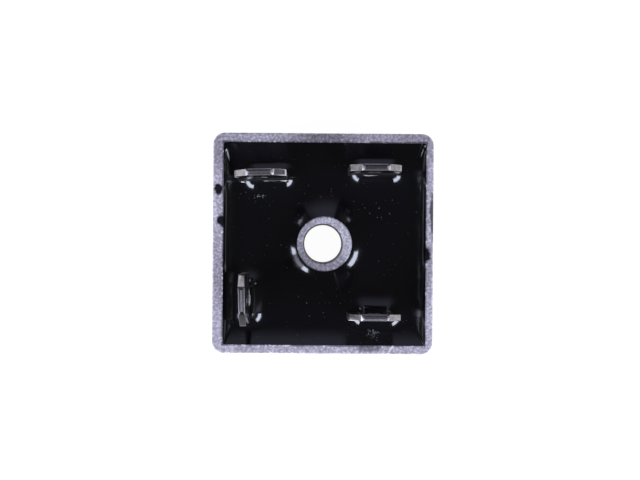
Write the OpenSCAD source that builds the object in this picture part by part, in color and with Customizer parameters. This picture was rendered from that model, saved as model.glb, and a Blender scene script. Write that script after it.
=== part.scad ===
// Bridge rectifier in a square metal case: four diode dice between copper frames, potted in black
// resin, with a screw hole through the middle and four quick-connect tabs standing out of the potting.
// Millimetres. The origin is the centre of the base face and +Z runs up the screw hole.

/* [Case] */
// Side of the square case
case_w = 28.5; // [27.5:0.1:31]
// Height of the case, from its base to its rim
case_h = 11; // [9.5:0.1:13]
// Thickness of the side walls
wall_t = 1.15; // [0.9:0.05:1.6]
// Thickness of the base
base_t = 2; // [1.5:0.1:2.6]
// Radius of the outer upright edges
corner_r = 1.5; // [0.8:0.1:2.5]
// Radius of the upright edges inside the well
well_corner_r = 0.3; // [0.1:0.05:0.8]
// Bevel round the outer edge of the base
base_bevel = 0.4; // [0.1:0.05:0.7]
// Bevel round the outer edge of the rim, the post and the ends of the screw hole
edge_break = 0.15; // [0.05:0.05:0.3]
// How far the cast well and post lie off the middle of the case, along x
core_shift_x = 0.2; // [-0.3:0.05:0.3]
// How far the cast well and post lie off the middle of the case, along y
core_shift_y = -0.05; // [-0.3:0.05:0.3]

/* [Screw post] */
// Diameter of the screw hole
hole_d = 5.1; // [4.2:0.1:5.6]
// Outer diameter of the post round the screw hole
post_d = 7.1; // [6.5:0.1:8]

/* [Potting] */
// Depth of the flat potting surface below the rim
fill_drop = 1.5; // [0.9:0.1:2]
// Height of rim left bare above the potting that has crept up the walls and the post
bare_rim = 0.15; // [0.05:0.05:0.4]
// How far the potting creeps up each tab
tab_creep = 1; // [0.4:0.1:1.4]
// Angle between the potting and the metal where it stops creeping, in degrees
creep_angle = 35; // [25:1:50]

/* [Tabs] */
// Width of each tab
tab_w = 6.35; // [5.6:0.05:6.6]
// Thickness of the tab sheet
tab_t = 0.8; // [0.6:0.05:1]
// Height of the tab tips above the base face
tab_top = 21.5; // [19:0.1:25]
// Distance from a side of the case in to the row of tabs along it
tab_row_inset = 4.95; // [4.7:0.05:5.4]
// Distance from the next side of the case to the middle of each tab in that row
tab_side_inset = 7.45; // [7.1:0.05:7.7]
// Width of the slanted cut at each corner of the tip
tip_cut_w = 1.6; // [0.8:0.1:2.2]
// Height of the slanted cut at each corner of the tip
tip_cut_h = 1.9; // [0.8:0.1:2.6]
// Bevel on both long edges of the tip
tip_bevel = 0.15; // [0.05:0.05:0.3]
// Diameter of the detent hole in each tab
tab_hole_d = 1.8; // [1.4:0.1:2.2]
// Distance from the tip down to the middle of the detent hole
tab_hole_drop = 4; // [3.4:0.1:4.6]
// Length of the foot that each tab stands on, from the middle of the tab sheet
foot_l = 2.9; // [2.4:0.1:3.4]
// Inside radius of the bend between tab and foot
bend_r = 0.6; // [0.4:0.1:0.9]

/* [Tabs as set by hand] */
// How far the first AC tab stands off its place, along x
ac_tab_a_shift_x = -0.9; // [-1:0.05:0.4]
// How far the first AC tab stands off its place, along y
ac_tab_a_shift_y = -0.85; // [-1:0.05:0.4]
// Turn of the first AC tab about its own middle, in degrees
ac_tab_a_turn = 1.5; // [-3:0.5:3]
// Lean of the first AC tab towards the screw hole, in degrees
ac_tab_a_lean = -0.5; // [-3:0.1:3]
// How far the negative tab stands off its place, along x
negative_tab_shift_x = -0.45; // [-0.6:0.05:0.2]
// Lean of the negative tab towards the screw hole, in degrees
negative_tab_lean = 0.4; // [-3:0.1:3]
// How far the second AC tab stands off its place, along x
ac_tab_b_shift_x = -0.45; // [-0.8:0.05:0.8]
// How far the second AC tab stands off its place, along y
ac_tab_b_shift_y = 0.05; // [-0.4:0.05:0.4]
// Lean of the second AC tab towards the screw hole, in degrees
ac_tab_b_lean = 1.8; // [-3:0.1:3]
// How far the positive tab stands off its place, along x
positive_tab_shift_x = -0.6; // [-0.8:0.05:0.2]
// How far the positive tab stands off its place, along y
positive_tab_shift_y = -0.2; // [-0.6:0.05:0.2]
// Turn of the positive tab about its own middle, in degrees
positive_tab_turn = 2; // [-3:0.5:3]
// Lean of the positive tab towards the screw hole, in degrees
positive_tab_lean = 0.7; // [-3:0.1:3]

/* [Diode bridge] */
// Side of each square diode die
die_w = 4.6; // [3.8:0.1:5]
// Thickness of each die
die_t = 0.3; // [0.2:0.05:0.5]
// Bare rim of each die, left clear of the solder on its upper face
die_margin = 0.5; // [0.2:0.1:0.8]
// How far the solder under each die has flowed out past its edge
solder_flow = 0.2; // [0.1:0.05:0.3]
// Thickness of each solder joint
solder_t = 0.1; // [0.05:0.05:0.2]
// Thickness of the copper frames and straps
frame_t = 0.8; // [0.5:0.05:1]
// Width of each leg of the frames and straps
leg_w = 5.8; // [5.6:0.1:6.2]
// How far a leg runs past the die that it carries
leg_overhang = 0.3; // [0.1:0.1:0.6]
// Distance from the tabs of a row in to the middle of the legs under them
leg_inset = 0.9; // [0.7:0.1:1.2]
// Potting between the end of a strap and the tab of another pole
isolation = 1; // [0.8:0.1:1.5]
// Thickness of the ceramic insulator under the frames
insulator_t = 0.6; // [0.4:0.05:1]
// Potting round the edge of the insulator, at the walls and at the post
insulator_gap = 0.4; // [0.2:0.05:0.7]

/* [Hidden] */
$fn = 96;

// A cutter runs this far past the face that it opens.
past = 0.5;

well_w = case_w - 2 * wall_t;
fill_z = case_h - fill_drop;
metal_creep = fill_drop - bare_rim;

frame_z = base_t + insulator_t;
die_solder_z = frame_z + frame_t;
die_z = die_solder_z + solder_t;
strap_solder_z = die_z + die_t;
strap_z = strap_solder_z + solder_t;
tab_row = case_w / 2 - tab_row_inset;
tab_along = case_w / 2 - tab_side_inset;
leg_mid = tab_row - leg_inset;
leg_end = leg_mid + leg_w / 2;

// Each tab: name, [x, y] of its middle, turn about Z that points its foot inwards, lean, and the
// height of the face that its foot is soldered to.
TABS = [
    [
        "ac_tab_a", [-tab_along + ac_tab_a_shift_x, tab_row + ac_tab_a_shift_y],
        ac_tab_a_turn, ac_tab_a_lean, strap_z + frame_t,
    ],
    [
        "negative_tab", [tab_along + negative_tab_shift_x, tab_row],
        0, negative_tab_lean, die_solder_z,
    ],
    [
        "ac_tab_b", [tab_along + ac_tab_b_shift_x, -tab_row + ac_tab_b_shift_y],
        180, ac_tab_b_lean, strap_z + frame_t,
    ],
    [
        "positive_tab", [-tab_row + positive_tab_shift_x, -tab_along + positive_tab_shift_y],
        90 + positive_tab_turn, positive_tab_lean, die_solder_z,
    ],
];
negative_tab_at = TABS[1][1];
positive_tab_at = TABS[3][1];

// A strap ends short of the tab of the other pole, and its die lies at that end.
strap_end_past_die = die_w / 2 + leg_overhang;
top_die_x = negative_tab_at[0] - tab_w / 2 - isolation - strap_end_past_die;
left_die_y = positive_tab_at[1] + tab_w / 2 + isolation + strap_end_past_die;

// Each die: the pole and the side that it joins, and [x, y] of its middle.
DICE = [
    ["a_positive", [-leg_mid, left_die_y]],
    ["a_negative", [top_die_x, leg_mid]],
    ["b_positive", [-top_die_x, -leg_mid]],
    ["b_negative", [leg_mid, -left_die_y]],
];

// Each copper plate: name, whether it fills the right-hand and the upper side, the places along x and y
// of the two dice that its legs end at, and height.
PLATES = [
    ["positive_frame", [false, false], [DICE[2][1][0], DICE[0][1][1]], frame_z],
    ["negative_frame", [true, true], [DICE[1][1][0], DICE[3][1][1]], frame_z],
    ["ac_strap_a", [false, true], [DICE[1][1][0], DICE[0][1][1]], strap_z],
    ["ac_strap_b", [true, false], [DICE[2][1][0], DICE[3][1][1]], strap_z],
];

// Square with round corners.
module rounded_square(w, r) {
    square([w, w - 2 * r], center = true);
    square([w - 2 * r, w], center = true);
    for (x = [-1, 1], y = [-1, 1])
        translate([x, y] * (w / 2 - r)) circle(r);
}

// Half section of a bevelled block, from its middle line out to a side at the given reach.
module bevelled_half(reach, h, low, high)
    polygon([[0, 0], [reach - low, 0], [reach, low], [reach, h - high], [reach - high, h], [0, h]]);

// Square block with round upright edges and bevels round its lower and upper faces.
module bevelled_block(w, r, h, low, high) {
    for (turn = [0, 90])
        rotate([90, 0, turn])
            linear_extrude(w - 2 * r, center = true) {
                bevelled_half(w / 2, h, low, high);
                mirror([1, 0]) bevelled_half(w / 2, h, low, high);
            }
    for (x = [-1, 1], y = [-1, 1])
        translate([x, y, 0] * (w / 2 - r))
            rotate_extrude() bevelled_half(r, h, low, high);
}

// The space that a screw through the case takes up, opened out at both ends by the edge break.
module screw_hole()
    rotate_extrude()
        polygon([
            [0, -past], [hole_d / 2 + edge_break + past, -past], [hole_d / 2, edge_break],
            [hole_d / 2, case_h - edge_break], [hole_d / 2 + edge_break + past, case_h + past],
            [0, case_h + past],
        ]);

// Places what the core of the casting mould shapes.
module at_core() translate([core_shift_x, core_shift_y, 0]) children();

// Metal can: base, walls and the post round the screw hole, in one piece.
module case()
    color("#a3a2ad")
    difference() {
        union() {
            difference() {
                bevelled_block(case_w, corner_r, case_h, base_bevel, edge_break);
                at_core()
                    translate([0, 0, base_t])
                    linear_extrude(case_h) rounded_square(well_w, well_corner_r);
            }
            at_core() rotate_extrude() bevelled_half(post_d / 2, case_h, 0, edge_break);
        }
        screw_hole();
    }

// Ceramic plate that keeps the frames off the metal base.
module base_insulator()
    color("#e9e6dc")
    at_core()
    translate([0, 0, base_t])
    linear_extrude(insulator_t)
    difference() {
        square(well_w - 2 * insulator_gap, center = true);
        circle(d = post_d + 2 * insulator_gap);
    }

// Copper plate with two legs from one corner, each ending just past the die that it carries.
module copper_plate(plate) {
    sign = [for (far = plate[1]) far ? 1 : -1];
    end = plate[2] - sign * strap_end_past_die;
    corner = sign * leg_end;
    inner = sign * (leg_mid - leg_w / 2);
    color("#b4703d")
    translate([0, 0, plate[3]])
    linear_extrude(frame_t)
        polygon([
            corner, [end[0], corner[1]], [end[0], inner[1]],
            inner, [inner[0], end[1]], [corner[0], end[1]],
        ]);
}

module die(at)
    color("#4b4e58")
    translate([at[0], at[1], die_z + die_t / 2])
    cube([die_w, die_w, die_t], center = true);

module die_solder(at, w, z)
    color("#9a9da2")
    translate([at[0], at[1], z + solder_t / 2])
    cube([w, w, solder_t], center = true);

// Places a tab's own frame: x along its width, y out through its sheet, with the foot towards -y.
module at_tab(tab)
    translate([tab[1][0], tab[1][1], 0]) rotate(tab[2]) children();

// Side view of a tab: foot, bend and upright, with the lean starting where the potting stops.
module tab_side(lean, foot_z) {
    bend_at = [-tab_t / 2 - bend_r, foot_z + tab_t + bend_r];
    kink_z = fill_z + tab_creep;
    shift = -(tab_top - kink_z) * tan(lean);
    bevel_shift = -(tab_top - tip_bevel - kink_z) * tan(lean);
    translate([-foot_l, foot_z]) square([foot_l + bend_at[0], tab_t]);
    translate(bend_at)
        intersection() {
            difference() {
                circle(bend_r + tab_t);
                circle(bend_r);
            }
            translate([0, -bend_r - tab_t]) square(bend_r + tab_t);
        }
    polygon([
        [-tab_t / 2, bend_at[1]], [tab_t / 2, bend_at[1]], [tab_t / 2, kink_z],
        [tab_t / 2 + bevel_shift, tab_top - tip_bevel], [tab_t / 2 - tip_bevel + shift, tab_top],
        [-tab_t / 2 + tip_bevel + shift, tab_top], [-tab_t / 2 + bevel_shift, tab_top - tip_bevel],
        [-tab_t / 2, kink_z],
    ]);
}

// Front view of a tab, with the slanted cuts that guide a receptacle on to it.
module tab_front()
    polygon([
        [-tab_w / 2, 0], [tab_w / 2, 0],
        [tab_w / 2, tab_top - tip_cut_h], [tab_w / 2 - tip_cut_w, tab_top],
        [-tab_w / 2 + tip_cut_w, tab_top], [-tab_w / 2, tab_top - tip_cut_h],
    ]);

// Folded sheet-metal tab: a foot soldered inside the case and a blade that stands out of it.
module tab(tab)
    color("#bdb9b7")
    at_tab(tab)
    difference() {
        intersection() {
            rotate([90, 0, 90]) linear_extrude(tab_w, center = true) tab_side(tab[3], tab[4] + solder_t);
            rotate([90, 0, 0]) linear_extrude(2 * foot_l + tab_w, center = true) tab_front();
        }
        translate([0, 0, tab_top - tab_hole_drop])
            rotate([90, 0, 0]) cylinder(d = tab_hole_d, h = tab_w, center = true);
    }

module tab_solder(tab)
    color("#9a9da2")
    at_tab(tab)
    translate([-tab_w / 2, -foot_l, tab[4]])
    cube([tab_w, foot_l - tab_t / 2 - bend_r, solder_t]);

// Section of the potting that has crept up a face at x = 0, as an arc that runs out flat.
module creep_section(rise) {
    r = rise / (1 - sin(creep_angle));
    reach = r * cos(creep_angle);
    difference() {
        square([reach, rise]);
        translate([reach, r]) circle(r);
    }
}

// Potting crept up the four walls of the well.
module wall_creep()
    for (turn = [0 : 90 : 270])
        rotate(turn)
        translate([-well_w / 2, 0, fill_z])
        rotate([90, 0, 0]) linear_extrude(well_w, center = true) creep_section(metal_creep);

// Potting crept up the post.
module post_creep()
    translate([0, 0, fill_z])
    rotate_extrude() translate([post_d / 2, 0]) creep_section(metal_creep);

// Potting crept up the two faces, the two edges and round the four corners of a tab.
module tab_creep_collar(tab)
    at_tab(tab)
    translate([0, 0, fill_z])
    for (x = [0, 1], y = [0, 1])
        mirror([x, 0, 0]) mirror([0, y, 0]) {
            translate([0, tab_t / 2, 0])
                rotate([90, 0, 90]) linear_extrude(tab_w / 2) creep_section(tab_creep);
            translate([tab_w / 2, tab_t / 2, 0])
                rotate([90, 0, 0]) linear_extrude(tab_t / 2) creep_section(tab_creep);
            translate([tab_w / 2, tab_t / 2, 0])
                rotate_extrude(angle = 90) creep_section(tab_creep);
        }

// Everything that the potting is poured round.
module potted_pieces() {
    base_insulator();
    for (plate = PLATES) copper_plate(plate);
    for (die = DICE) {
        die(die[1]);
        die_solder(die[1], die_w + 2 * solder_flow, die_solder_z);
        die_solder(die[1], die_w - 2 * die_margin, strap_solder_z);
    }
    for (tab = TABS) {
        tab(tab);
        tab_solder(tab);
    }
}

// Resin that fills the well up to its flat surface, and creeps up whatever stands in it.
module potting()
    color("#15151a")
    difference() {
        intersection() {
            at_core()
                translate([0, 0, base_t])
                linear_extrude(case_h) rounded_square(well_w, well_corner_r);
            union() {
                at_core() {
                    translate([-well_w / 2, -well_w / 2, base_t])
                        cube([well_w, well_w, fill_z - base_t]);
                    wall_creep();
                    post_creep();
                }
                for (tab = TABS) tab_creep_collar(tab);
            }
        }
        at_core() cylinder(d = post_d, h = case_h + past);
        potted_pieces();
    }

case();
base_insulator();
for (plate = PLATES)
    copper_plate(plate);
for (die = DICE) {
    die(die[1]);
    die_solder(die[1], die_w + 2 * solder_flow, die_solder_z);
    die_solder(die[1], die_w - 2 * die_margin, strap_solder_z);
}
for (tab = TABS) {
    tab(tab);
    tab_solder(tab);
}
potting();
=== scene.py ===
"""Dresses the solids of a metal-case bridge rectifier: poured resin, stamped tabs, tumbled case and its wear.

Everything is in metres, in the frame of the solids: the origin is the centre of the base face, +Z runs
up the screw hole, and a view from above with +Y up shows the positive tab at the lower left.
"""

import math
import random
from contextlib import contextmanager
from functools import partial

import bmesh
import bpy
from bpy.props import FloatProperty, FloatVectorProperty, IntProperty, PointerProperty
from mathutils import Matrix, Vector


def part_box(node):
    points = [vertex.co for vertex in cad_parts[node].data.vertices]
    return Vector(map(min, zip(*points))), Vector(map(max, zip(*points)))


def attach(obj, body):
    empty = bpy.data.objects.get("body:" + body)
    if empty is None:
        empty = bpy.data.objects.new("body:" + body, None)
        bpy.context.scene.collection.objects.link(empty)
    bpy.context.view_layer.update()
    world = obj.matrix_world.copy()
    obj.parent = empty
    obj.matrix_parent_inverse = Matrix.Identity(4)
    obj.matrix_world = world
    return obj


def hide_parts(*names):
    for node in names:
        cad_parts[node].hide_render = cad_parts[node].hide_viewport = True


bl_info = {
    "name": "Bridge Rectifier Looks",
    "version": (1, 0, 0),
    "blender": (4, 5, 0),
    "location": "View3D > Sidebar > Rectifier",
    "description": "Pours the resin, finishes the metal and sets the stage of a square bridge rectifier",
    "category": "Object",
}

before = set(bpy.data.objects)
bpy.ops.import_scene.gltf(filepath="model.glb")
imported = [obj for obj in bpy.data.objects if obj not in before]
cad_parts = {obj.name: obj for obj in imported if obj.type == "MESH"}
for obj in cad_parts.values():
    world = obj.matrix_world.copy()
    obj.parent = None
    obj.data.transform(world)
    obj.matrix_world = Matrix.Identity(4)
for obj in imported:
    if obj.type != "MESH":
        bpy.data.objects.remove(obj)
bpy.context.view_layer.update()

MM = 0.001
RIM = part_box("case")[1].z
WELL_LOW, WELL_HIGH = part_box("potting")
WELL_MIDDLE = (WELL_LOW + WELL_HIGH) / 2
WELL_WIDTH = WELL_HIGH.x - WELL_LOW.x
# In millimetres: the radius of the post, the radii between which its end gives way to the bore, and how
# deep the flat resin lies below the rim.
POST_RADIUS = 3.55
BORE_EDGE = (2.58, 2.56)
FILL_DROP = 1.5
# Points of a solid, and of the resin's seam, that lie this close, in metres, are one. Faces of a solid that
# meet at less than this angle are one flat face.
WELD, SEAM = 1e-7, 1e-6
FLAT_ANGLE = math.radians(0.1)
DOWN = (0.0, 0.0, -1.0)

# How the resin climbs each tab: the share of the tab's width; how far that lies to the right of the tab's
# middle, seen from above, or towards the front for the turned one; and how far inwards, in millimetres.
TABS = {
    "ac_tab_a": (0.5, 0.72, 0.0),
    "negative_tab": (0.55, 0.5, 0.0),
    "ac_tab_b": (0.44, 0.6, 0.0),
    "positive_tab": (0.5, 0.5, 0.5),
}
# How sharply climbs meet: low powers round the corner between two walls, high ones leave a crease. The
# corners' powers run into one another over this many millimetres to each side of the middle.
LEFT_BACK_CORNER, RIGHT_BACK_CORNER, FRONT_CORNERS = 1.7, 2.6, 12.0
WALL_POST_AND_TABS = 6.0
CORNER_BLEND = 2
# In millimetres: how far towards the left back, as Y less X, the higher climb there starts and is full, and
# the height over which every climb eases off below the rim.
POUR_START, POUR_FULL = 10, 20
SOFT_TOP = 0.2
# The painted brightness of the cut edge of each tab, partly its own tone and partly painted light and
# shade for how the soft boxes catch each cut: at its left or back shoulder, its tip and its other shoulder,
# the cut itself and the edges round it, then the two corners between. 0 is painted shade, 1 bare metal and
# 2 a near-white painted highlight.
CUT_LIGHT_AND_SHADE = {
    "ac_tab_a": ((1.0, 1.0), (1.2, 0.6), (0.25, 2.0), (1.5, 1.5)),
    "negative_tab": ((0.7, 1.5), (0.8, 0.6), (0.65, 1.0), (1.3, 1.6)),
    "ac_tab_b": ((0.75, 2.0), (1.0, 1.2), (0.8, 0.8), (1.2, 0.9)),
    "positive_tab": ((1.3, 0.9), (1.45, 0.4), (0.1, 0.15), (0.3, 0.1)),
}
# What a face of a tab is marked with while its edges are eased.
ROUNDED, EASED = 1.0, 2.0
# Edges are eased from the tip down to this many millimetres, where faces meet at more than this angle.
TIP_DEPTH = 2.5
SHARP_ANGLE = math.radians(25)
# How squarely an edge crosses the length of the sheet, seen from above, to run through it from face to face.
SQUARELY = 0.9
# Parts of a face's normal: along the sheet, the most for the tip and the most for a rounded corner; through
# the sheet, the least for a side of the blade and the least for an eased face that kept its plating.
TIP_LEAN, CORNER_LEAN = 0.1, 0.75
SIDE_LOOK, PLATED_LOOK = 0.5, 0.99
# Painted shade on the eased edges of the tabs that face away from the soft boxes: the way that they face,
# how far at least, and the share of their painted brightness that they keep.
SHADED_EDGE_WAY = Vector((-0.5, 1.0, 0.0))
SHADED_EDGE_LOOK = 0.1
LESS_BRIGHT = 0.35
# How much higher flux ran up the inner side of these tabs, in millimetres.
FLUX = {"ac_tab_a": 3.0, "negative_tab": 4.0}
# Solder drawn up the inner side of a tab: the share of the tab's width, how far it lies to the right of the
# tab's middle, or towards the front for the turned one, in millimetres, and how thick it is.
BEADS = (
    ("ac_tab_a", 0.53, 1.45, 1.8),
    ("ac_tab_a", 0.13, -2.85, 0.9),
    ("negative_tab", 0.3, -0.3, 0.7),
    ("positive_tab", 0.35, 0.0, 0.9),
)
# How far a bead's line stands off the sheet, as a share of its radius, and the sides of its round.
BEAD_OFF = 0.6
BEAD_SIDES = 10
# Marks at the height of the rim: middle, across and up, and half size in millimetres, turn in degrees,
# colour, how far each covers, and how ragged its outline is.
MARKS = (
    ((14.15, 3.7), (0.36, 2.9, 1.2), 0, "#3b3330", 0.85, 1.0),
    ((6.5, -13.45), (1.5, 0.55, 0.6), 0, "#5f5c66", 0.65, 1.0),
    ((0.4, 13.9), (2.4, 0.4, 0.6), 0, "#8d8a97", 0.3, 1.0),
    ((2.9, 0.7), (0.9, 2.8, 0.6), 10, "#f0ecf4", 0.7, 1.0),
    ((0.4, 3.0), (2.4, 0.8, 0.6), 0, "#e8e4ee", 0.7, 1.0),
    ((-2.9, 0.5), (0.9, 2.0, 0.6), 0, "#dcd8e2", 0.6, 1.0),
    ((8.75, -13.8), (0.12, 0.9, 0.6), -33, "#fbfafd", 1.0, 0.2),
    ((-13.9, 3.8), (0.16, 2.6, 0.4), 2, "#e9e5ee", 0.7, 0.5),
    ((13.75, 1.0), (0.25, 1.7, 0.4), 0, "#e9e5ee", 0.7, 0.5),
    ((13.8, -7.5), (0.5, 5.0, 0.4), 0, "#e2dde6", 0.45, 0.8),
    ((-7.0, 13.8), (6.0, 0.5, 0.4), 0, "#e6e1ea", 0.45, 0.8),
)
# Resin that dried on the rim in a thin film, given as the marks are.
FILMS = (
    ((-13.55, 6.95), (0.62, 0.68, 0.6), 0, "#130f17", 0.99, 0.55),
    ((-13.15, 2.9), (0.54, 0.84, 0.6), 0, "#130f17", 0.99, 0.55),
    ((13.3, -1.3), (0.66, 0.96, 0.6), 0, "#130f17", 0.99, 0.55),
)
# Larger specks of dust on the resin, as places in millimetres.
SPECKS = ((-2.05, -7.76), (9.0, 5.74), (7.65, 3.25), (-4.6, -3.17), (-8.5, 6.2), (3.45, 2.73), (12.3, 8.1))
# Dust that was rubbed on: the middle, across and up, and the spread, across and up, in millimetres, and the
# number of flakes.
SMUDGES = (
    ((-8.1, 6.1), (0.5, 0.13), 22),
    ((6.6, -11.7), (0.4, 0.4), 50),
    ((8.0, 3.6), (1.7, 1.6), 8),
)
# The smallest and largest flakes, as shares of the given size: strewn ones, and those at given places.
STREWN_SIZES = (0.4, 0.8)
PLACED_SIZES = (0.5, 1.6)
# A flake's length, width and thickness, as shares of its size, and its least and most turns in radians.
FLAKE = (1.0, 0.7, 0.3)
FLAKE_TURNS = ((-0.3, -0.3, 0.0), (0.3, 0.3, 6.28))
# How far a face of the resin has to look up for dust to stay on it.
LEVEL_ENOUGH = 0.8
# Each soft box: its direction from the part, as a turn about Z in degrees, and its width in metres.
BOXES = {"right_box": (-34, 0.34), "left_box": (215, 0.4)}
# Their angle from overhead, their height and their distance from the part.
BOX_LEAN = math.radians(58)
BOX_HEIGHT = 0.135
BOX_AWAY = 0.5
FLOOR_REACH = 6.0
# How bright the floor looks to the camera and in reflections, and how much light it sends on otherwise.
FLOOR_GLOW = 0.97
FLOOR_GREY = (0.2, 0.2, 0.2)
WHITE = (1.0, 1.0, 1.0)
# Where the camera stands beside the part's middle, in millimetres, its turn in degrees and its lens shift.
CAMERA_ASIDE = (-0.42, -0.16)
CAMERA_TURN = 0.45
CAMERA_SHIFT = (0.0006, 0.0074)

# Kinds of node that the trees use often.
MATH = "ShaderNodeMath"
VECTOR = "ShaderNodeVectorMath"
RANGE = "ShaderNodeMapRange"
MIX = "ShaderNodeMix"
NOISE = "ShaderNodeTexNoise"
SPLIT = "ShaderNodeSeparateXYZ"
JOIN = "ShaderNodeCombineXYZ"
BUMP = "ShaderNodeBump"
MAPPING = "ShaderNodeMapping"
SURFACE = "ShaderNodeBsdfPrincipled"
OUTPUT = "ShaderNodeOutputMaterial"
SET_POSITION = "GeometryNodeSetPosition"
COMPARE = "FunctionNodeCompare"
RANDOM = "FunctionNodeRandomValue"
# The socket that takes each type of value into a geometry tree.
SOCKETS = {
    int: "NodeSocketInt",
    float: "NodeSocketFloat",
    bpy.types.Object: "NodeSocketObject",
    bpy.types.Material: "NodeSocketMaterial",
}


def linear(hex_colour):
    """An sRGB hex colour as linear red, green and blue."""
    parts = [int(hex_colour[i : i + 2], 16) / 255 for i in (1, 3, 5)]
    return tuple(p / 12.92 if p <= 0.04045 else ((p + 0.055) / 1.055) ** 2.4 for p in parts)


def per_mm(size_mm):
    """The scale of a pattern, on coordinates in metres, whose features are this many millimetres apart."""
    return 1.0 / (size_mm * MM)


def add(tree, kind, *values, named=None, **settings):
    """Adds a node with these settings, and returns the first output that it shows.

    The values go to the inputs that it shows, from the top, and the named ones to the inputs with those
    names. Each is a plain value, a colour, another node's output or a list of outputs.
    """
    node = tree.nodes.new(kind)
    for name, setting in settings.items():
        setattr(node, name, setting)
    filled = list(zip([socket for socket in node.inputs if socket.enabled], values))
    filled += [(node.inputs[name], value) for name, value in (named or {}).items()]
    for socket, value in filled:
        for source in value if isinstance(value, list) else [value]:
            if isinstance(source, bpy.types.NodeSocket):
                tree.links.new(source, socket)
            else:
                socket.default_value = (*source, 1.0) if socket.type == "RGBA" else source
    return next((socket for socket in node.outputs if socket.enabled), None)


def start_material(name):
    """A new material with an empty tree, what adds nodes to that tree, and its object coordinates."""
    made = bpy.data.materials.new(name)
    made.use_nodes = True
    made.node_tree.nodes.clear()
    put = partial(add, made.node_tree)
    return made, put, put("ShaderNodeTexCoord").node.outputs["Object"]


def new_object(name, data):
    """A new object in the scene."""
    made = bpy.data.objects.new(name, data)
    bpy.context.scene.collection.objects.link(made)
    return made


def run_tree(name, build, values, mesh=None):
    """Runs a geometry tree on a new object, and returns that object with the result as its plain mesh.

    The tree takes the mesh, where there is one, and the values by their names. build adds its nodes up to
    the last two steps.
    """
    tree = bpy.data.node_groups.new(name, "GeometryNodeTree")
    sockets = tree.interface
    sockets.new_socket("Geometry", in_out="OUTPUT", socket_type="NodeSocketGeometry")
    if mesh:
        sockets.new_socket("Mesh", in_out="INPUT", socket_type="NodeSocketGeometry")
    keys = {}
    for label, value in values.items():
        socket = sockets.new_socket(label, in_out="INPUT", socket_type=SOCKETS[type(value)])
        keys[label] = socket.identifier
    put = partial(add, tree)
    given = put("NodeGroupInput").node.outputs
    real = put("GeometryNodeRealizeInstances", build(put, given))
    put("NodeGroupOutput", put("GeometryNodeSetMaterial", real, named={"Material": given["Material"]}))
    piece = new_object(name, mesh or bpy.data.meshes.new(name))
    modifier = piece.modifiers.new(name, "NODES")
    modifier.node_group = tree
    for label, value in values.items():
        modifier[keys[label]] = value
    return settle(piece)


def settle(piece):
    """Turns an object's modifiers into its plain mesh."""
    evaluated = piece.evaluated_get(bpy.context.evaluated_depsgraph_get())
    mesh = bpy.data.meshes.new_from_object(evaluated)
    piece.modifiers.clear()
    old = piece.data
    piece.data = mesh
    mesh.name = piece.name
    if old.users == 0:
        bpy.data.meshes.remove(old)
    return piece


@contextmanager
def editing(mesh):
    """A mesh opened for edits, which are written back at the end."""
    work = bmesh.new()
    work.from_mesh(mesh)
    yield work
    work.to_mesh(mesh)
    work.free()


def solid_copy(node, name):
    """A copy of a solid's mesh with its loose triangles joined and its flat faces whole."""
    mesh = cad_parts[node].data.copy()
    mesh.name = name
    with editing(mesh) as work:
        bmesh.ops.remove_doubles(work, verts=work.verts, dist=WELD)
        bmesh.ops.dissolve_limit(work, angle_limit=FLAT_ANGLE, verts=work.verts, edges=work.edges)
    for layer in list(mesh.attributes):
        if layer.name in ("custom_normal", "sharp_edge", "sharp_face"):
            mesh.attributes.remove(layer)
    return new_object(name, mesh)


def shade(mesh, *materials, angle):
    """Shades a mesh smooth up to this angle between faces, in degrees, in these materials."""
    mesh.polygons.foreach_set("use_smooth", [True] * len(mesh.polygons))
    mesh.set_sharp_from_angle(angle=math.radians(angle))
    kinds = [face.material_index for face in mesh.polygons]
    mesh.materials.clear()
    for material in materials:
        mesh.materials.append(material)
    mesh.polygons.foreach_set("material_index", kinds if len(materials) > 1 else [0] * len(kinds))


def seat(piece, slot, *nodes):
    """Rides a finished piece on the part, in place of these solids. The slot is not used."""
    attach(piece, "root")
    if nodes:
        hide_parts(*nodes)


def finish_node(node, slot, material):
    """Gives a solid that stays as it is a material. The slot is not used."""
    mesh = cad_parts[node].data
    mesh.materials.clear()
    mesh.materials.append(material)


def cross_section(tab):
    """Where a tab leaves the potting: its middle, and the half widths along the sheet and through it."""
    points = [(v.co.xy, round(v.co.z, 6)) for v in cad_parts[tab].data.vertices]
    bend = min((z for _, z in points if z > RIM - FILL_DROP * MM), default=None)
    corners = [point for point, z in points if z == bend]
    if not corners:
        raise RuntimeError(f"{tab} shows no cross-section above the potting")
    middle = sum(corners, Vector((0, 0))) / len(corners)
    far = max((c - middle for c in corners), key=lambda a: a.length)
    near = max((c - middle for c in corners), key=lambda a: abs(a.cross(far)))
    along, through = (far + near) / 2, (far - near) / 2
    if along.length < through.length:
        along, through = through, along
    along *= 1 if along.x - along.y > 0 else -1
    through *= -1 if through.dot(middle) > 0 else 1
    return middle, along, through


def line_at_tab(tab, share, slip, inwards):
    """The ends of a line over a share of a tab's width, moved along the sheet and inwards, in metres."""
    at, along, through = cross_section(tab)
    at += along.normalized() * slip + through.normalized() * inwards
    return [(at + along * share * side).to_3d() for side in (-1, 1)]


def line_mesh(name, ends):
    """A mesh of straight lines, one for each two ends."""
    mesh = bpy.data.meshes.new(name)
    mesh.from_pydata(ends, [(i, i + 1) for i in range(0, len(ends), 2)], [])
    return mesh


def length(name, text, size_mm):
    """A length for the panel, given in millimetres."""
    return FloatProperty(name=name, description=text, default=size_mm * MM, unit="LENGTH", precision=5)


def tint(name, text, hex_colour):
    """A colour for the panel."""
    return FloatVectorProperty(name=name, description=text, default=linear(hex_colour), subtype="COLOR")


def fields(settings):
    """The names of a group's own properties."""
    return [name for name in settings.bl_rna.properties.keys() if name not in ("rna_type", "name")]


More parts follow.
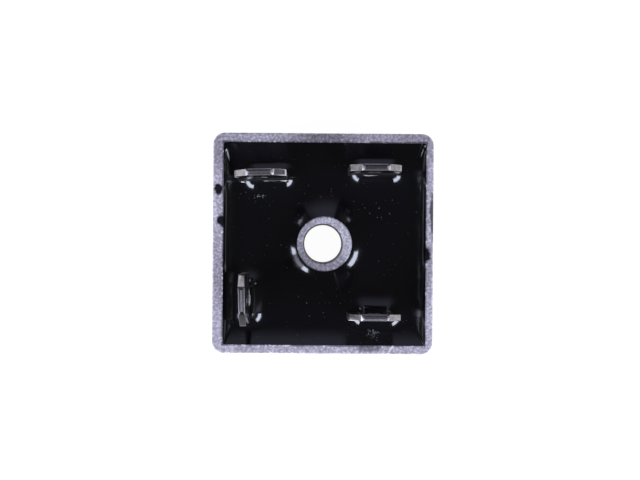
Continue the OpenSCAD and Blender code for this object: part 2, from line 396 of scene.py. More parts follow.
def numbers(settings):
    """A group's plain numbers, by the names that a tree's inputs have."""
    values = {name.replace("_", " ").title(): getattr(settings, name) for name in fields(settings)}
    return {label: value for label, value in values.items() if isinstance(value, (int, float))}


class CaseSettings(bpy.types.PropertyGroup):
    """Finish of the metal case."""

    colour: tint("Metal colour", "Colour of the tumbled aluminium", "#d2c9d3")
    grain: length("Grain", "Distance between the pits that tumbling left", 0.3)
    grain_depth: FloatProperty(
        name="Grain depth", description="How strongly the grain lightens and darkens the rim", default=2.2
    )


class PottingSettings(bpy.types.PropertyGroup):
    """Shape and colour of the poured resin."""

    fill_drop: length("Fill drop", "Depth of the flat resin below the rim", FILL_DROP)
    bare_rim: length("Bare rim", "Depth below the rim that the resin never climbs past", 0.05)
    metal_rise: length("Rise at the case", "How far the resin climbs the side walls", 1.3)
    end_rise: length("Rise at the ends", "How far the resin climbs the front wall and the back wall", 1.15)
    corner_rise: length(
        "Rise at the left back", "How far it climbs the left part of the back wall, where it was poured", 1.45
    )
    post_rise: length("Rise at the post", "How far the resin climbs the post", 1.22)
    post_lean: FloatProperty(
        name="Lean at the post",
        description="How much higher the resin climbs the right of the post, as a share",
        default=0.11,
    )
    tab_rise: length("Rise at the tabs", "How far the resin climbs the middle of each tab", 1.4)
    creep_length: length(
        "Creep length", "Distance from the side walls over which the climb falls to about a third", 0.95
    )
    post_creep_length: length("Post creep length", "The same distance at the post", 1.55)
    tab_creep_length: length("Tab creep length", "The same distance at the tabs", 1.3)
    end_creep_length: length("End creep length", "The same distance at the two walls behind the tabs", 2.0)
    post_radius: length("Post radius", "Radius of the post that the resin climbs", POST_RADIUS)
    steps: IntProperty(
        name="Steps", description="Points along each side of the resin's surface", default=250
    )
    colour: tint("Resin colour", "Colour of the black potting resin", "#0c0c0f")


class TabSettings(bpy.types.PropertyGroup):
    """Finish of the quick-connect tabs."""

    eased_edge: length("Eased edge", "Width that stamping and plating took off each edge", 0.11)
    rounded_cut: length("Rounded cut", "Width rounded off where two cuts of the tip meet", 0.28)
    cut_colour: tint("Cut colour", "Colour of the bare metal where the punch cut it", "#bdb8bb")


class BeadSettings(bpy.types.PropertyGroup):
    """Solder drawn up the tabs."""

    step: length("Step", "Distance between the points along a bead", 0.08)
    radius: length("Radius", "Half the thickness of a bead at its thickest", 0.065)
    waver: length("Waver", "How far a bead strays from its line", 0.35)


class WearSettings(bpy.types.PropertyGroup):
    """Dust on the resin."""

    dust_count: IntProperty(name="Dust", description="Specks of dust strewn over the resin", default=240)
    dust_size: length("Dust size", "Width that the sizes of the flakes are shares of", 0.1)
    seed: IntProperty(name="Seed", description="Fixes where the dust lies", default=7)


class StageSettings(bpy.types.PropertyGroup):
    """Camera and light."""

    lens: FloatProperty(
        name="Lens", description="Focal length, in millimetres on a 36 mm sensor", default=65.3, unit="CAMERA"
    )
    camera_height: length("Camera height", "Distance from the rim up to the camera", 150)
    box_light: FloatProperty(
        name="Box light", description="Brightness of the two soft boxes, where 1 is white", default=14.5
    )
    back_light: FloatProperty(
        name="Back light", description="Brightness of the wall behind the part, where 1 is white", default=0.5
    )
    room: FloatProperty(
        name="Room", description="Brightness of the room overhead, where 1 is white", default=0.05
    )


def aluminium_material(settings):
    """Tumbled aluminium: grey with a bright grain, coarser on the cut rim; painted highlights at its edges.
    """
    made, put, place = start_material("tumbled_aluminium")
    grain = put(NOISE, place, 1 / settings.grain, 2.0, 0.5)
    blotch = put(NOISE, place, per_mm(2.4), 3.0, 0.5)
    tatter = put(NOISE, place, per_mm(0.7), 2.0, 0.5)
    darker = tuple(c * 0.6 for c in settings.colour)
    blotched = put(RANGE, blotch, 0.45, 0.75, 0.0, 0.35)
    colour = put(MIX, blotched, settings.colour, darker, data_type="RGBA")

    # How near a point of the rim or the post's end is to the edge of the resin.
    from_well = put(VECTOR, place, WELL_MIDDLE, operation="SUBTRACT")
    sides = put(SPLIT, put(VECTOR, from_well, operation="ABSOLUTE")).node.outputs
    square = put(MATH, sides["X"], sides["Y"], operation="MAXIMUM")
    past_well = put(MATH, square, WELL_WIDTH / 2, operation="SUBTRACT")
    level = put(VECTOR, from_well, (1.0, 1.0, 0.0), operation="MULTIPLY")
    past_post = put(MATH, POST_RADIUS * MM, put(VECTOR, level, operation="LENGTH"), operation="SUBTRACT")
    gaps = [put(MATH, gap, operation="ABSOLUTE") for gap in (past_well, past_post)]
    edge = put(MATH, *gaps, operation="MINIMUM")

    # The grain is strongest on the rim. The rim and the post's end darken towards the edges of the resin; in
    # patches near those edges, pale specks are painted highlights that stand in for glints of polished
    # facets.
    height = put(SPLIT, place).node.outputs["Z"]
    coarse = put(RANGE, height, RIM - 0.3 * MM, RIM - 0.1 * MM, 0.35, 1.0)
    uneven = put(RANGE, blotch, 0.3, 0.7, -0.1 * MM, 0.1 * MM)
    edge_darkening = put(RANGE, put(MATH, edge, uneven, operation="ADD"), 0.2 * MM, 0.05 * MM, 0.0, 0.75)
    colour = put(MIX, edge_darkening, colour, linear("#4b4850"), data_type="RGBA")
    # Painted highlights: pale specks where the grain and the blotches peak near the edges.
    painted_glint = coarse
    for pattern, start, end in ((edge, 0.3 * MM, 0.05 * MM), (grain, 0.5, 0.72), (blotch, 0.48, 0.56)):
        painted_glint = put(MATH, painted_glint, put(RANGE, pattern, start, end), operation="MULTIPLY")
    colour = put(MIX, painted_glint, colour, linear("#f6f4fa"), data_type="RGBA")

    # The marks' ragged edges come from the blotches, and the films' from a finer pattern.
    film = 0.0
    for marks, pattern in ((MARKS, blotch), (FILMS, tatter)):
        ragged = put(RANGE, pattern, 0.25, 0.75, -0.6, 0.6)
        for (across, up), half, turn, tone, cover, wild in marks:
            middle = (across * MM, up * MM, RIM)
            turned = (0.0, 0.0, math.radians(turn))
            local = put(MAPPING, place, middle, turned, Vector(half) * MM, vector_type="TEXTURE")
            away = put(VECTOR, local, operation="LENGTH")
            outline = put(MATH, ragged, wild, away, operation="MULTIPLY_ADD")
            share = put(RANGE, outline, 1.2, 0.7, 0.0, cover)
            colour = put(MIX, share, colour, linear(tone), data_type="RGBA")
            if marks is FILMS:
                film = put(MATH, film, share, operation="MAXIMUM")

    # The grain lightens and darkens everything so far.
    depth = put(MATH, coarse, settings.grain_depth, operation="MULTIPLY")
    swing = put(MATH, put(MATH, grain, 0.5, operation="SUBTRACT"), depth, operation="MULTIPLY")
    colour = put(VECTOR, colour, put(MATH, swing, operation="EXPONENT"), operation="SCALE")

    # Painted shade: the drilled bore is painted near black and loses its metal gloss, standing in for the
    # shadow inside the hole.
    flat = put(VECTOR, place, (1.0, 1.0, 0.0), operation="MULTIPLY")
    bore = put(RANGE, put(VECTOR, flat, operation="LENGTH"), *(radius * MM for radius in BORE_EDGE))
    colour = put(MIX, bore, colour, linear("#17171b"), data_type="RGBA")
    # The bore's painted shade and the dried resin films both lose the metal's gloss.
    dull = put(MATH, bore, film, operation="MAXIMUM")
    strength = put(MATH, coarse, 0.5, operation="MULTIPLY")
    look = {
        "Base Color": colour,
        "Metallic": put(RANGE, dull, 0.0, 1.0, 0.4, 0.0),
        "Roughness": put(RANGE, grain, 0.3, 0.7, 0.65, 0.45),
        "Specular IOR Level": put(RANGE, dull, 0.0, 1.0, 0.5, 0.1),
        "Normal": put(BUMP, strength, 0.04 * MM, named={"Height": grain}),
    }
    put(OUTPUT, put(SURFACE, named=look))
    return made


def resin_material(settings):
    """Poured black epoxy: almost black with a wet gloss, dulled a little in patches by handling."""
    made, put, place = start_material("black_potting_epoxy")
    haze = put(NOISE, place, per_mm(3.5), 5.0, 0.6)
    look = {
        "Base Color": settings.colour,
        "Roughness": put(RANGE, haze, 0.4, 0.7, 0.1, 0.16),
        "IOR": 1.58,
    }
    put(OUTPUT, put(SURFACE, named=look))
    return made


def tin_material():
    """Tin plating on rolled sheet: bright enough to mirror the resin below, dull where flux ran up it."""
    made, put, place = start_material("tin_plated_sheet")
    stretched = put(MAPPING, place, named={"Scale": (1.0, 1.0, 0.06)})
    drawn = put(NOISE, stretched, per_mm(0.15), 3.0)
    cloud = put(NOISE, place, per_mm(1.2), 3.0, 0.6)
    # The flux line wavers above the rim, and lies higher where a face says so.
    above = put(SPLIT, place).node.outputs["Z"]
    higher = put("ShaderNodeAttribute", attribute_name="flux").node.outputs["Fac"]
    for line in (higher, put(RANGE, cloud, 0.3, 0.7, RIM + 0.2 * MM, RIM + 1.8 * MM)):
        above = put(MATH, above, line, operation="SUBTRACT")
    fluxed = put(RANGE, above, 0.3 * MM, -0.3 * MM)
    clouded = put(RANGE, cloud, 0.38, 0.68)
    tone = put(MIX, clouded, linear("#a6a1a4"), linear("#857f82"), data_type="RGBA")
    # Handling dulled the side of each blade that faces away from the middle of the part.
    facing = put("ShaderNodeNewGeometry").node.outputs["Normal"]
    outwards = put(VECTOR, facing, place, operation="DOT_PRODUCT")
    handled = put(RANGE, outwards, 0.0, 1.0 * MM, 0.18, 0.42)
    look = {
        "Base Color": put(MIX, fluxed, tone, linear("#4a4543"), data_type="RGBA"),
        "Metallic": 1.0,
        "Roughness": put(RANGE, fluxed, 0.0, 1.0, handled, 0.5),
        "Normal": put(BUMP, 0.5, 0.006 * MM, named={"Height": drawn}),
    }
    put(OUTPUT, put(SURFACE, named=look))
    return made


def sheared_material(settings):
    """Sheared edge of the sheet: duller than its faces, with the punch's fine lines and painted light and
    shade.
    """
    made, put, place = start_material("sheared_sheet_edge")
    stretched = put(MAPPING, place, named={"Scale": (1.0, 1.0, 0.3)})
    lines = put(NOISE, stretched, per_mm(0.22), 4.0, 0.65)
    lined = put(RANGE, lines, 0.35, 0.65)
    tone = put(MIX, lined, linear("#8b8589"), settings.cut_colour, data_type="RGBA")
    # Each cut's painted brightness, kept on its faces: low values are painted shade and values towards 2 a
    # near-white painted highlight, for how the soft boxes catch or miss the cut.
    scuff = put("ShaderNodeAttribute", attribute_name="scuff").node.outputs["Fac"]
    tone = put(MIX, scuff, linear("#2b282a"), tone, data_type="RGBA")
    painted_highlight = put(RANGE, scuff, 1.0, 2.0)
    look = {
        "Base Color": put(MIX, painted_highlight, tone, linear("#f7f4f5"), data_type="RGBA"),
        "Metallic": 1.0,
        "Roughness": put(MIX, painted_highlight, put(RANGE, lines, 0.3, 0.7, 0.42, 0.28), 0.55),
        "Normal": put(BUMP, 0.7, 0.03 * MM, named={"Height": lines}),
    }
    put(OUTPUT, put(SURFACE, named=look))
    return made


def mottled(name, dark, pale, size_mm, metallic, roughness):
    """A plain material, mottled between two colours at its own grain size."""
    made, put, place = start_material(name)
    mottle = put(NOISE, place, per_mm(size_mm), 4.0)
    look = {
        "Base Color": put(MIX, mottle, linear(dark), linear(pale), data_type="RGBA"),
        "Metallic": metallic,
        "Roughness": put(RANGE, mottle, 0.0, 1.0, roughness * 0.8, roughness * 1.2),
    }
    put(OUTPUT, put(SURFACE, named=look))
    return made


class RECTIFIER_OT_case(bpy.types.Operator):
    """Finishes the metal case in tumbled aluminium"""

    bl_idname = "rectifier.case"
    bl_label = "Finish Case"

    def execute(self, context):
        finish_node("case", "case_metal", aluminium_material(context.scene.rectifier_case))
        return {"FINISHED"}


class RECTIFIER_OT_inside(bpy.types.Operator):
    """Finishes the frames, straps, dice, solder and insulator inside the potting"""

    bl_idname = "rectifier.inside"
    bl_label = "Finish Inside"

    def execute(self, context):
        # Rolled copper: warm and half bright, with faint darker oxide.
        copper = mottled("rolled_copper", "#9c5a36", "#c68255", size_mm=0.8, metallic=1.0, roughness=0.35)
        # Lapped silicon: dark grey and smooth, with a faint cloud in it.
        silicon = mottled("lapped_silicon", "#3b3e47", "#585c68", size_mm=0.5, metallic=0.0, roughness=0.16)
        # Reflowed solder: pale grey, a little frosted where it froze.
        solder = mottled("reflowed_solder", "#85888c", "#b3b6ba", size_mm=0.3, metallic=1.0, roughness=0.4)
        # Fired alumina: off-white and matt, with a fine speckle.
        alumina = mottled("fired_alumina", "#ddd9cd", "#f0eee8", size_mm=0.15, metallic=0.0, roughness=0.6)
        finishes = {
            "_frame": ("copper", copper),
            "_strap": ("copper", copper),
            "die_": ("silicon", silicon),
            "solder_": ("solder", solder),
            "_insulator": ("ceramic", alumina),
        }
        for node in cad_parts:
            for part, finish in finishes.items():
                if part in node:
                    finish_node(node, *finish)
        return {"FINISHED"}


class RECTIFIER_OT_tabs(bpy.types.Operator):
    """Eases the edges of the four tabs and plates them"""

    bl_idname = "rectifier.tabs"
    bl_label = "Plate Tabs"

    def execute(self, context):
        settings = context.scene.rectifier_tabs
        tin, sheared = tin_material(), sheared_material(settings)
        for tab in TABS:
            blade = solid_copy(tab, tab + "_blade")
            along, across = (v.normalized().to_3d() for v in cross_section(tab)[1:])
            with editing(blade.data) as work:
                scuff = work.faces.layers.float.new("scuff")
                flux = work.faces.layers.float.new("flux")
                self.ease(work, scuff, along, settings)
                self.mark(work, scuff, flux, along, across, tab)
            shade(blade.data, tin, sheared, angle=30)
            seat(blade, "tab_metal", tab)
        return {"FINISHED"}

    def ease(self, work, scuff, along, settings):
        """Rounds the tip's cuts where they meet, and then eases every edge near the tip."""
        # The punched hole keeps its sharp edge: it lies well below the tip.
        lowest = max(v.co.z for v in work.verts) - TIP_DEPTH * MM
        for through, width in ((True, settings.rounded_cut), (False, settings.eased_edge)):
            sharp = [
                edge
                for edge in work.edges
                if edge.calc_face_angle(0.0) > SHARP_ANGLE
                and sum(v.co.z for v in edge.verts) / 2 > lowest
                and (not through or self.runs_through(edge, along))
            ]
            eased = bmesh.ops.bevel(work, geom=sharp, offset=width, segments=3, profile=0.5, affect="EDGES")
            for face in eased["faces"]:
                face[scuff] = ROUNDED if through else EASED
        work.normal_update()

    def runs_through(self, edge, along):
        """Whether an edge runs through the sheet, from face to face, as where two cuts of the punch meet."""
        way = (edge.verts[1].co - edge.verts[0].co).normalized()
        return abs(way.cross(along).z) > SQUARELY

    def mark(self, work, scuff, flux, along, across, tab):
        """Gives each face plating or bare metal, its painted light and shade, and how high its flux ran."""
        left, middle, right, corners = CUT_LIGHT_AND_SHADE[tab]
        for face in work.faces:
            lean = face.normal.dot(along)
            inwards = face.normal.dot(across)
            # The cut's painted light and shade, partly its own tone and partly how the soft boxes light it.
            cut, edge = middle if abs(lean) < TIP_LEAN else right if lean > 0 else left
            if face[scuff] == ROUNDED and abs(lean) < CORNER_LEAN:
                cut = corners[lean > 0]
            # Eased edges that face away from the soft boxes keep only a share of their brightness, as painted
            # shade.
            elif face[scuff] != 0:
                cut = edge * (LESS_BRIGHT if face.normal.dot(SHADED_EDGE_WAY) > SHADED_EDGE_LOOK else 1.0)
            plated = abs(inwards) > (PLATED_LOOK if face[scuff] else SIDE_LOOK)
            face.material_index = 0 if plated else 1
            face[scuff] = cut
            face[flux] = FLUX.get(tab, 0.0) * MM if inwards > SIDE_LOOK else 0.0


def resin_nodes(put, given):
    """Surface of a resin that climbs the walls, the post and the tabs, and falls away from each."""
    grid = put("GeometryNodeMeshGrid", given["Width"], given["Width"], given["Steps"], given["Steps"])
    here = put("GeometryNodeInputPosition")
    axes = put(SPLIT, here).node.outputs

    def climb(gap, creep, rise):
        """The climb at a gap from the metal, in millimetres, so that its powers stay well within range."""
        share = put(MATH, gap, given[creep], operation="DIVIDE")
        fall = put(MATH, put(MATH, share, -1.0, operation="MULTIPLY"), operation="EXPONENT")
        return put(MATH, put(MATH, fall, rise, operation="MULTIPLY"), 1 / MM, operation="MULTIPLY")

    def meet(climbs, power):
        """Climbs run into one: the higher the power, the more the highest wins, with a narrower crease."""
        total = 0.0
        for high in climbs:
            total = put(MATH, total, put(MATH, high, power, operation="POWER"), operation="ADD")
        return put(MATH, total, put(MATH, 1.0, power, operation="DIVIDE"), operation="POWER")

    # The end walls are climbed higher towards the left back, where the resin was poured.
    slant = put(MATH, axes["Y"], axes["X"], operation="SUBTRACT")
    end_rise = put(RANGE, slant, POUR_START * MM, POUR_FULL * MM, given["End Rise"], given["Corner Rise"])
    half = put(MATH, given["Width"], 0.5, operation="MULTIPLY")
    walls = []
    side_and_end = (("X", "Creep Length", given["Metal Rise"]), ("Y", "End Creep Length", end_rise))
    for axis, creep, rise in side_and_end:
        gap = put(MATH, half, put(MATH, axes[axis], operation="ABSOLUTE"), operation="SUBTRACT")
        walls.append(climb(gap, creep, rise))
    # The two back corners are filled round, the left one more, and the two front ones keep a crease.
    reach = CORNER_BLEND * MM
    back = put(RANGE, axes["X"], -reach, reach, LEFT_BACK_CORNER, RIGHT_BACK_CORNER)
    corners = put(RANGE, axes["Y"], -reach, reach, FRONT_CORNERS, back)
    radius = given["Post Radius"]
    post_gap = put(MATH, put(VECTOR, here, operation="LENGTH"), radius, operation="SUBTRACT")
    lean = put(RANGE, axes["X"], 0.0, radius, 0.0, given["Post Lean"])
    post_rise = put(MATH, given["Post Rise"], lean, given["Post Rise"], operation="MULTIPLY_ADD")
    spines = put("GeometryNodeObjectInfo", given["Tab Spines"]).node.outputs["Geometry"]
    near = put("GeometryNodeProximity", spines, named={"Sample Position": here}, target_element="EDGES")
    from_spine = near.node.outputs["Distance"]
    tab_gap = put(MATH, given["Tab Thickness"], -0.5, from_spine, operation="MULTIPLY_ADD")
    climbs = [
        meet(walls, corners),
        climb(post_gap, "Post Creep Length", post_rise),
        climb(tab_gap, "Tab Creep Length", given["Tab Rise"]),
    ]

    # The climb wavers round each piece, as a hand-poured resin's does, and ends below the rim.
    waver = put(NOISE, here, per_mm(4.0), 0.0)
    uneven = put(RANGE, waver, 0.3, 0.7, 0.96 * MM, 1.04 * MM)
    fill = put(MATH, given["Rim Height"], given["Fill Drop"], operation="SUBTRACT")
    height = put(MATH, meet(climbs, WALL_POST_AND_TABS), uneven, fill, operation="MULTIPLY_ADD")
    top = put(MATH, given["Rim Height"], given["Bare Rim"], operation="SUBTRACT")
    capped = put(MATH, height, top, SOFT_TOP * MM, operation="SMOOTH_MIN")

    # A skirt first hangs a metre down from the grid's edge, which tells its points from the grid's own. They
    # go to the floor of the well, and one face closes it there.
    faces = put("GeometryNodeInputMeshEdgeNeighbors")
    outer = put(COMPARE, faces, 1, data_type="INT", operation="EQUAL")
    skirt = put("GeometryNodeExtrudeMesh", grid, outer, put(JOIN, *DOWN), 1.0, mode="EDGES")
    lower = put(COMPARE, axes["Z"], -0.5, operation="LESS_THAN")
    at_floor = put(JOIN, axes["X"], axes["Y"], given["Floor Height"])
    at_top = put(JOIN, axes["X"], axes["Y"], capped)
    placed = put("GeometryNodeSwitch", lower, at_top, at_floor, input_type="VECTOR")
    shell = put(SET_POSITION, skirt, named={"Position": placed})
    loop = put("GeometryNodeMeshToCurve", shell, skirt.node.outputs["Top"])
    closing = put("GeometryNodeFillCurve", loop, mode="NGONS")
    lowered = put(SET_POSITION, closing, named={"Position": at_floor})
    joined = put("GeometryNodeJoinGeometry", [shell, lowered])
    return put("GeometryNodeMergeByDistance", joined, named={"Distance": SEAM})


class RECTIFIER_OT_potting(bpy.types.Operator):
    """Pours the resin round everything that stands in the case"""

    bl_idname = "rectifier.potting"
    bl_label = "Pour Potting"

    def execute(self, context):
        settings = context.scene.rectifier_potting
        resin = resin_material(settings)
        middle = Vector((WELL_MIDDLE.x, WELL_MIDDLE.y, 0))
        ends = []
        for tab, (share, slip, inwards) in TABS.items():
            ends += [end - middle for end in line_at_tab(tab, share, slip * MM, inwards * MM)]
        spines = new_object("tab_spines", line_mesh("tab_spines", ends))
        values = {
            "Tab Spines": spines,
            "Tab Thickness": 2 * cross_section("positive_tab")[2].length,
            "Width": WELL_WIDTH,
            "Floor Height": WELL_LOW.z,
            "Rim Height": RIM,
            "Material": resin,
        }
        piece = run_tree("poured_potting", resin_nodes, {**values, **numbers(settings)})
        bpy.data.objects.remove(spines)
        piece.data.transform(Matrix.Translation(middle))
        with editing(piece.data) as work:
            bmesh.ops.recalc_face_normals(work, faces=work.faces)
            open_edges = sum(1 for edge in work.edges if not edge.is_manifold)
        if open_edges:
            raise RuntimeError(f"the poured resin has {open_edges} open edges")
        for node in sorted(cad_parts):
            if node != "potting":
                self.cut_away(piece, node)
        # What the cuts left inside the screw hole goes.
        well_within = settings.post_radius - 0.2 * MM
        with editing(piece.data) as work:
            inside = [v for v in work.verts if (v.co - middle).xy.length < well_within]
            bmesh.ops.delete(work, geom=inside, context="VERTS")
        if not piece.data.polygons:
            raise RuntimeError("the cuts left nothing of the poured resin")
        shade(piece.data, resin, angle=55)
        seat(piece, "potting_resin", "potting")
        return {"FINISHED"}

    def cut_away(self, piece, node):
        """Takes a solid's room out of a piece."""
        cutter = solid_copy(node, "cutter_" + node)
        cut = piece.modifiers.new("cut", "BOOLEAN")
        cut.operation = "DIFFERENCE"
        cut.solver = "MANIFOLD"
        cut.object = cutter
        settle(piece)
        bpy.data.objects.remove(cutter)


def landing(put, resin):
    """Where each point falls on to the resin."""
    ray = {
        "Source Position": put("GeometryNodeInputPosition"),
        "Ray Direction": put(JOIN, *DOWN),
        "Ray Length": 1.0,
    }
    return put("GeometryNodeRaycast", resin, named=ray).node.outputs["Hit Position"]


def bead_nodes(put, given):
    """Ragged beads that follow given lines, where those meet the surface of the resin."""
    here = put("GeometryNodeInputPosition")
    resin = put("GeometryNodeObjectInfo", given["Resin"]).node.outputs["Geometry"]
    curve = put("GeometryNodeMeshToCurve", given["Mesh"])
    fine = put("GeometryNodeResampleCurve", curve, named={"Length": given["Step"]}, mode="LENGTH")
    # Each bead strays evenly to all sides of its line, and more upwards than down.
    ragged = put(NOISE, here, per_mm(1.1), 2.0).node.outputs["Color"]
    aside = put(VECTOR, ragged, (0.5, 0.5, 0.35), operation="SUBTRACT")
    shift = put(VECTOR, aside, given["Waver"], operation="SCALE")
    laid = put(SET_POSITION, fine, named={"Position": landing(put, resin), "Offset": shift})
    # It thins out in places, and at both ends.
    to_end = put(MATH, put("GeometryNodeSplineParameter"), 0.5, operation="PINGPONG")
    size = put(RANGE, to_end, 0.0, 0.2, 0.15, 1.0)
    patchy = put(RANGE, put(NOISE, here, per_mm(1.7), 1.0), 0.44, 0.58, 0.1, 1.3)
    own = put("GeometryNodeInputNamedAttribute", "thickness", data_type="FLOAT")
    for factor in (patchy, own, given["Radius"]):
        size = put(MATH, size, factor, operation="MULTIPLY")
    profile = put("GeometryNodeCurvePrimitiveCircle", BEAD_SIDES, 1.0)
    return put("GeometryNodeCurveToMesh", laid, profile, size, True)


class RECTIFIER_OT_beads(bpy.types.Operator):
    """Draws solder up the inner side of the tabs"""

    bl_idname = "rectifier.beads"
    bl_label = "Draw Beads"

    def execute(self, context):
        settings = context.scene.rectifier_beads
        ends = []
        for tab, share, slip, _ in BEADS:
            inwards = cross_section(tab)[2].length + BEAD_OFF * settings.radius
            line = line_at_tab(tab, share, slip * MM, inwards)
            ends += [end + Vector((0, 0, RIM)) for end in line]
        lines = line_mesh("bead_lines", ends)
        thickness = lines.attributes.new("thickness", "FLOAT", "POINT")
        thickness.data.foreach_set("value", [bead[-1] for bead in BEADS for _ in range(2)])
        # Drawn solder: bright tin, smooth where it froze last.
        solder = mottled("drawn_solder", "#e2ded6", "#fbf9f4", size_mm=0.3, metallic=0.35, roughness=0.4)
        values = {"Resin": bpy.data.objects["poured_potting"], "Material": solder}
        beads = run_tree("solder_beads", bead_nodes, {**values, **numbers(settings)}, lines)
        if not beads.data.polygons:
            raise RuntimeError("no bead was drawn")
        shade(beads.data, solder, angle=60)
        seat(beads, "solder")
        return {"FINISHED"}


def dust_nodes(put, given):
    """Flat flakes dropped on to a surface: strewn over it, and one at each given place."""
    resin = put("GeometryNodeObjectInfo", given["Resin"]).node.outputs["Geometry"]
    up = put(SPLIT, put("GeometryNodeInputNormal")).node.outputs["Z"]
    level = put(COMPARE, up, LEVEL_ENOUGH, operation="GREATER_THAN")
    # The count is shared out over the area that faces up.
    face = put("GeometryNodeInputMeshFaceArea")
    area = put("GeometryNodeAttributeStatistic", resin, level, face, domain="FACE").node.outputs["Sum"]
    density = put(MATH, given["Dust Count"], area, operation="DIVIDE")
    strewn = put("GeometryNodeDistributePointsOnFaces", resin, level, density, given["Seed"])
    places = put("GeometryNodeMeshToPoints", given["Mesh"])
    landed = put(SET_POSITION, places, named={"Position": landing(put, resin)})

    def flakes(points, least, most):
        """A flake on each point, at a random turn and size between these shares of the given one."""
        ball = put("GeometryNodeMeshIcoSphere", 0.5, 1)
        seed = {"Seed": given["Seed"]}
        share = put(RANDOM, least, most, named=seed)
        flake = {
            "Instance": put("GeometryNodeTransform", ball, named={"Scale": FLAKE}),
            "Rotation": put(RANDOM, *FLAKE_TURNS, named=seed, data_type="FLOAT_VECTOR"),
            "Scale": put(MATH, share, given["Dust Size"], operation="MULTIPLY"),
        }
        return put("GeometryNodeInstanceOnPoints", points, named=flake)

    return put("GeometryNodeJoinGeometry", [flakes(strewn, *STREWN_SIZES), flakes(landed, *PLACED_SIZES)])


class RECTIFIER_OT_wear(bpy.types.Operator):
    """Strews dust over the potting"""

    bl_idname = "rectifier.wear"
    bl_label = "Add Wear"

    def execute(self, context):
        settings = context.scene.rectifier_wear
        draw = random.Random(settings.seed)
        spots = list(SPECKS)
        for middle, spread, number in SMUDGES:
            for _ in range(number):
                spots.append([draw.gauss(at, wide) for at, wide in zip(middle, spread)])
        places = bpy.data.meshes.new("specks")
        places.from_pydata([(x * MM, y * MM, RIM) for x, y in spots], [], [])
        # House dust: pale grey flakes, matt, a little lighter than the resin's brightest reflections.
        dust = mottled("house_dust", "#6f6d6a", "#a8a6a2", size_mm=0.05, metallic=0.0, roughness=0.9)
        values = {"Resin": bpy.data.objects["poured_potting"], "Material": dust}
        specks = run_tree("dust_specks", dust_nodes, {**values, **numbers(settings)}, places)
        if not specks.data.polygons:
            raise RuntimeError("no dust landed on the resin")
        seat(specks, "potting_resin")
        return {"FINISHED"}


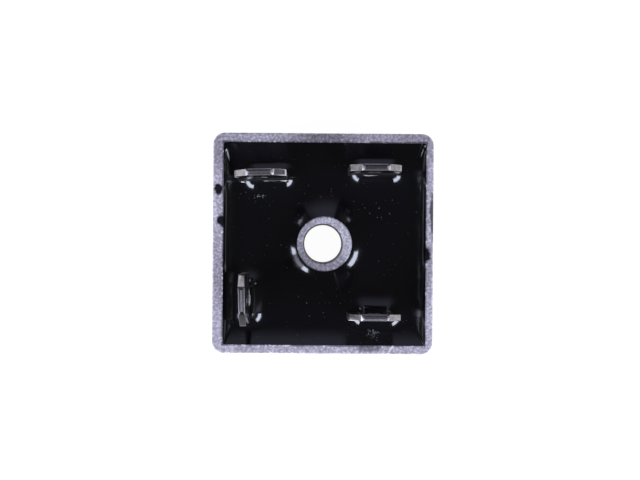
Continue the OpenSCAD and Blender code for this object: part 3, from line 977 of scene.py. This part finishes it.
class RECTIFIER_OT_stage(bpy.types.Operator):
    """Lays the floor, hangs the lights and sets the camera straight above the part"""

    bl_idname = "rectifier.stage"
    bl_label = "Set Stage"

    def execute(self, context):
        settings = context.scene.rectifier_stage
        self.lay_floor()
        self.light_room(context, settings)
        self.hang_boxes(settings)
        self.set_camera(context, settings)
        return {"FINISHED"}

    def lay_floor(self):
        """A wide pale sheet that looks white and still takes a soft shadow."""
        made, put, _ = start_material("white_paper_floor")
        path = put("ShaderNodeLightPath").node.outputs
        seen = path["Is Camera Ray"]
        for ray in ("Is Glossy Ray", "Is Transmission Ray"):
            seen = put(MATH, seen, path[ray], operation="MAXIMUM")
        glow = put("ShaderNodeEmission", WHITE, put(MATH, seen, FLOOR_GLOW, operation="MULTIPLY"))
        put(OUTPUT, put("ShaderNodeAddShader", glow, put("ShaderNodeBsdfDiffuse", FLOOR_GREY)))
        mesh = bpy.data.meshes.new("floor")
        corners = [(-1, -1, 0), (1, -1, 0), (1, 1, 0), (-1, 1, 0)]
        mesh.from_pydata([Vector(corner) * FLOOR_REACH for corner in corners], [], [(0, 1, 2, 3)])
        mesh.materials.append(made)
        floor = new_object("floor", mesh)

    def light_room(self, context, settings):
        """A dim room with a cool white wall behind the part, which takes the floor's white at the horizon."""
        world = bpy.data.worlds.new("studio_room")
        world.use_nodes = True
        world.node_tree.nodes.clear()
        put = partial(add, world.node_tree)
        axes = put(SPLIT, put("ShaderNodeTexCoord").node.outputs["Generated"]).node.outputs
        aside = put(MATH, axes["X"], operation="ABSOLUTE")
        # How far back the wall starts and is full, how far aside it ends, and how low the white starts.
        ranges = ((axes["Y"], 0.25, 0.75), (aside, 0.55, 0.1), (axes["Z"], 0.16, 0.06))
        back, between, horizon = (put(RANGE, *limits, interpolation_type="SMOOTHSTEP") for limits in ranges)
        back = put(MATH, back, between, operation="MULTIPLY")
        light = (settings.room, settings.room, settings.room)
        cool = tuple(c * settings.back_light for c in linear("#dcdcff"))
        for share, tone in ((back, cool), (horizon, WHITE)):
            light = put(MIX, share, light, tone, data_type="RGBA")
        put("ShaderNodeOutputWorld", put("ShaderNodeBackground", light))
        context.scene.world = world
        context.scene.view_settings.view_transform = "Standard"

    def hang_boxes(self, settings):
        """Two soft boxes at the front, aimed at the part."""
        for name, (turn, width) in BOXES.items():
            lamp = bpy.data.lights.new(name, "AREA")
            lamp.shape = "RECTANGLE"
            lamp.size = width
            lamp.size_y = BOX_HEIGHT
            lamp.energy = settings.box_light * math.pi * width * BOX_HEIGHT
            lamp.color = linear("#e2e9ff")
            turn = math.radians(turn)
            away = Vector((math.cos(turn), math.sin(turn), 0)) * math.sin(BOX_LEAN)
            away.z = math.cos(BOX_LEAN)
            hung = new_object(name, lamp)
            hung.location = away * BOX_AWAY + Vector((0, 0, RIM))
            hung.rotation_euler = away.to_track_quat("Z", "Y").to_euler()

    def set_camera(self, context, settings):
        """Straight down, turned by the small angle at which the part lies in the picture."""
        lens = bpy.data.cameras.new("camera")
        lens.lens = settings.lens
        lens.sensor_width = 36.0
        lens.clip_start = 0.01
        lens.clip_end = 50.0
        lens.shift_x, lens.shift_y = CAMERA_SHIFT
        camera = new_object("camera", lens)
        camera.location = (*(at * MM for at in CAMERA_ASIDE), RIM + settings.camera_height)
        camera.rotation_euler = (0.0, 0.0, math.radians(CAMERA_TURN))
        context.scene.camera = camera


class RECTIFIER_PT_panel(bpy.types.Panel):
    """Lists the steps that dress the part"""

    bl_idname = "RECTIFIER_PT_panel"
    bl_label = "Bridge Rectifier"
    bl_space_type = "VIEW_3D"
    bl_region_type = "UI"
    bl_category = "Rectifier"

    def draw(self, context):
        for step, group in STEPS:
            if group:
                settings = getattr(context.scene, group_name(step))
                for name in fields(settings):
                    self.layout.prop(settings, name)
            self.layout.operator(step.bl_idname)


def group_name(step):
    """The name under which the scene keeps a step's settings."""
    return step.bl_idname.replace(".", "_")


# The steps in their order, each with the group of its settings.
STEPS = (
    (RECTIFIER_OT_stage, StageSettings),
    (RECTIFIER_OT_case, CaseSettings),
    (RECTIFIER_OT_inside, None),
    (RECTIFIER_OT_potting, PottingSettings),
    (RECTIFIER_OT_tabs, TabSettings),
    (RECTIFIER_OT_beads, BeadSettings),
    (RECTIFIER_OT_wear, WearSettings),
)
GROUPS = {group_name(step): group for step, group in STEPS if group}
CLASSES = (*GROUPS.values(), *(step for step, _ in STEPS), RECTIFIER_PT_panel)


def register():
    for each in CLASSES:
        bpy.utils.register_class(each)
    for name, group in GROUPS.items():
        setattr(bpy.types.Scene, name, PointerProperty(type=group))


def unregister():
    for name in GROUPS:
        delattr(bpy.types.Scene, name)
    for each in reversed(CLASSES):
        bpy.utils.unregister_class(each)


def main():
    register()
    for step, _ in STEPS:
        group, name = step.bl_idname.split(".")
        getattr(getattr(bpy.ops, group), name)()


if __name__ == "__main__":
    main()
